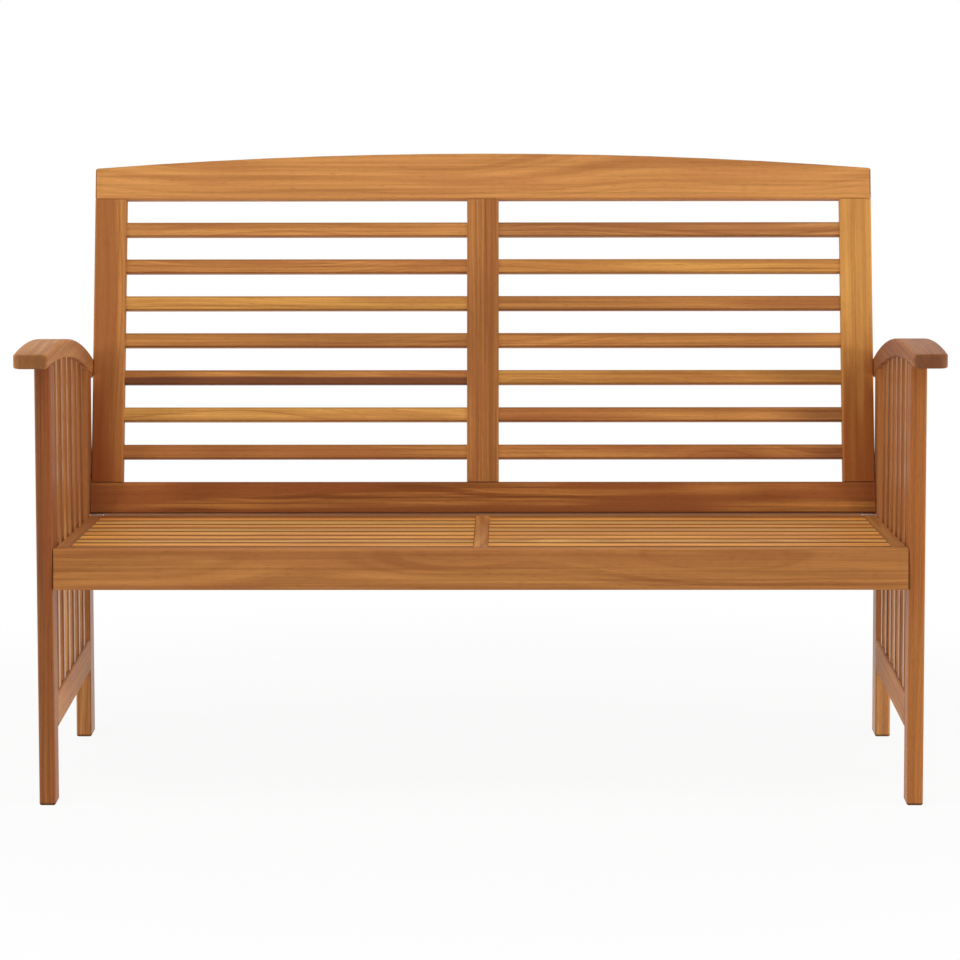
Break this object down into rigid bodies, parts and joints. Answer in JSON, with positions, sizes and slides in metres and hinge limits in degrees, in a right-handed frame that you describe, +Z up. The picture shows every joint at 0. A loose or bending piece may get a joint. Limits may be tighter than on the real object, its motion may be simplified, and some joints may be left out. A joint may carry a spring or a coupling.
{
  "type": "garden bench",
  "caption": "Wooden garden bench with an arched, slatted backrest that leans back, a sloping slatted seat, slatted sides and curved armrests.",
  "frame": {"origin": "on the floor, under the centre of the bench's outer box", "axes": "+X along the bench, to the right seen from the front; +Y to the rear; +Z up. The seat faces -Y."},
  "size_m": [1.195, 0.657, 0.8153],
  "materials": {
    "wood_legs": "light oil, satin",
    "wood_armrests": "light oil, satin",
    "wood_side_rails": "light oil, satin",
    "wood_side_slats": "light oil, satin",
    "wood_seat_frame": "light oil, satin",
    "wood_seat_slats": "light oil, satin",
    "wood_back_frame": "light oil, satin",
    "wood_back_slats": "light oil, satin",
    "wood_crest_rail": "light oil, satin",
    "steel_fasteners": "zinc plated"
  },
  "bodies": {
    "root": {"armrest_left": "wood_armrests", "armrest_right": "wood_armrests", "back_bottom_rail": "wood_back_frame", "back_crest_rail": "wood_crest_rail", "back_slat_left_1": "wood_back_slats", "back_slat_left_2": "wood_back_slats", "back_slat_left_3": "wood_back_slats", "back_slat_left_4": "wood_back_slats", "back_slat_left_5": "wood_back_slats", "back_slat_left_6": "wood_back_slats", "back_slat_left_7": "wood_back_slats", "back_slat_right_1": "wood_back_slats", "back_slat_right_2": "wood_back_slats", "back_slat_right_3": "wood_back_slats", "back_slat_right_4": "wood_back_slats", "back_slat_right_5": "wood_back_slats", "back_slat_right_6": "wood_back_slats", "back_slat_right_7": "wood_back_slats", "back_stile_centre": "wood_back_frame", "back_stile_left": "wood_back_frame", "back_stile_right": "wood_back_frame", "frame_bolts": "steel_fasteners", "front_leg_left": "wood_legs", "front_leg_right": "wood_legs", "rear_leg_left": "wood_legs", "rear_leg_right": "wood_legs", "seat_centre_rail": "wood_seat_frame", "seat_front_rail": "wood_seat_frame", "seat_rear_rail": "wood_seat_frame", "seat_side_rail_left": "wood_seat_frame", "seat_side_rail_right": "wood_seat_frame", "seat_slat_row_1": "wood_seat_slats", "seat_slat_row_2": "wood_seat_slats", "seat_slat_row_3": "wood_seat_slats", "seat_slat_row_4": "wood_seat_slats", "seat_slat_row_5": "wood_seat_slats", "seat_slat_row_6": "wood_seat_slats", "seat_slat_row_7": "wood_seat_slats", "seat_slat_row_8": "wood_seat_slats", "side_rail_left": "wood_side_rails", "side_rail_right": "wood_side_rails", "side_slat_left_1": "wood_side_slats", "side_slat_left_2": "wood_side_slats", "side_slat_left_3": "wood_side_slats", "side_slat_left_4": "wood_side_slats", "side_slat_left_5": "wood_side_slats", "side_slat_left_6": "wood_side_slats", "side_slat_right_1": "wood_side_slats", "side_slat_right_2": "wood_side_slats", "side_slat_right_3": "wood_side_slats", "side_slat_right_4": "wood_side_slats", "side_slat_right_5": "wood_side_slats", "side_slat_right_6": "wood_side_slats", "threaded_inserts": "steel_fasteners"}
  },
  "joints": []
}
